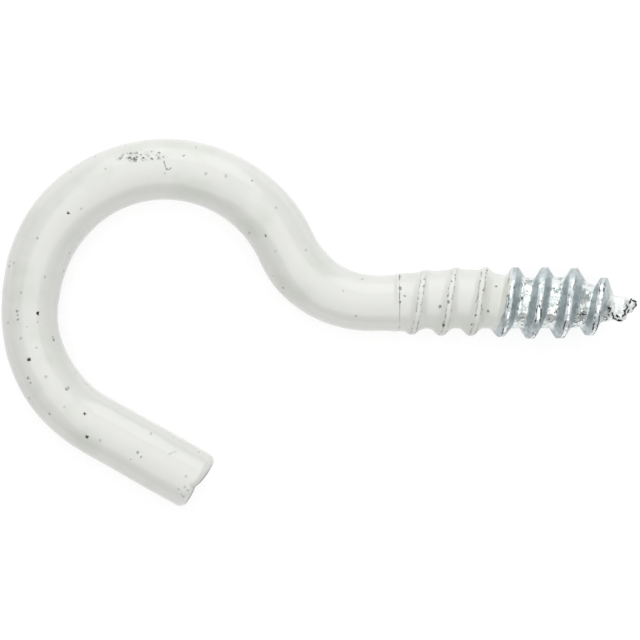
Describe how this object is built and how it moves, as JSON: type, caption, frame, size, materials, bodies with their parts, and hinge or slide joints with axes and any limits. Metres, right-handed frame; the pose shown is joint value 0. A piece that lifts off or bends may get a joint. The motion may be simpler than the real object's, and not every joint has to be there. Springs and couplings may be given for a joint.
{
  "type": "screw hook",
  "caption": "Screw hook bent from one round wire: open round hook, offset neck and a coarse wood-screw thread with a blunt tip, white-coated except for the bare zinc thread end.",
  "frame": {"origin": "on the screw axis at the ring line where the thread begins", "axes": "+X along the screw axis toward the tip, the hook and its neck in the XY plane with the bow centred on the axis and the hook's mouth on the -Y side, +Z square to that plane, up from the surface the hook lies on"},
  "size_m": [0.0542, 0.0312, 0.006],
  "materials": {
    "screw_hook": "gloss"
  },
  "bodies": {
    "root": {"screw_hook": "screw_hook"}
  },
  "joints": []
}
